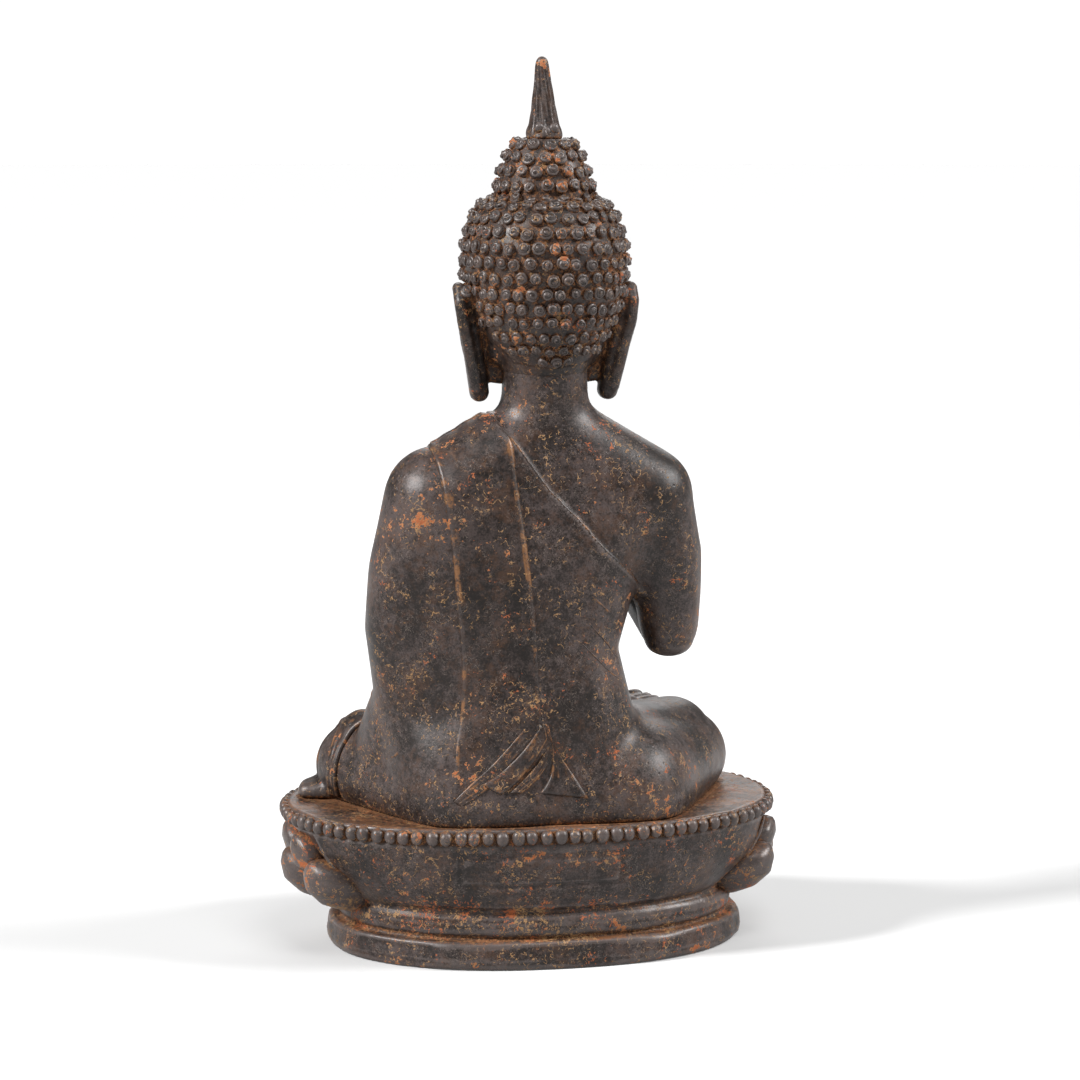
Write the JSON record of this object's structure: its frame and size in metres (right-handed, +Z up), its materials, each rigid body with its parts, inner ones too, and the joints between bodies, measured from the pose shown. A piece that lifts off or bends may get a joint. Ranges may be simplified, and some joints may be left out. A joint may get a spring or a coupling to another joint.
{
  "type": "seated buddha statue",
  "caption": "Cast-iron seated buddha with curled hair and a flame finial, on an oval lotus throne; figure and finial lift off.",
  "frame": {"origin": "centre of the throne's outline, on the surface it stands on", "axes": "+Z up, the figure faces -Y, its own left side is towards +X"},
  "size_m": [0.2506, 0.1743, 0.4305],
  "materials": {
    "figure_iron": "satin, rust-flecked brown-black patina",
    "hair_iron": "satin, rust between the curls",
    "throne_iron": "satin, dusty rust on the deck and ochre in the grooves",
    "rusted_iron": "matt orange-brown rust",
    "pin_iron": "filed, dull grey"
  },
  "bodies": {
    "throne": {"throne_casting": "throne_iron", "lotus_petals": "throne_iron", "bead_moulding": "throne_iron", "base_plate": "rusted_iron", "plate_pins": "pin_iron"},
    "figure": {"figure_casting": "figure_iron", "seat_dowels": "pin_iron", "chaplets": "rusted_iron", "head_casting": "hair_iron", "neck_pin": "pin_iron", "right_forearm": "figure_iron", "forearm_pin": "pin_iron"},
    "finial": {"flame_finial": "hair_iron"}
  },
  "joints": [
    {"name": "figure_lift", "type": "slide", "parent": "throne", "child": "figure", "axis": [0, 0, 1], "range_m": [0, 0.04]},
    {"name": "finial_lift", "type": "slide", "parent": "figure", "child": "finial", "axis": [0, 0, 1], "range_m": [0, 0.03]}
  ]
}
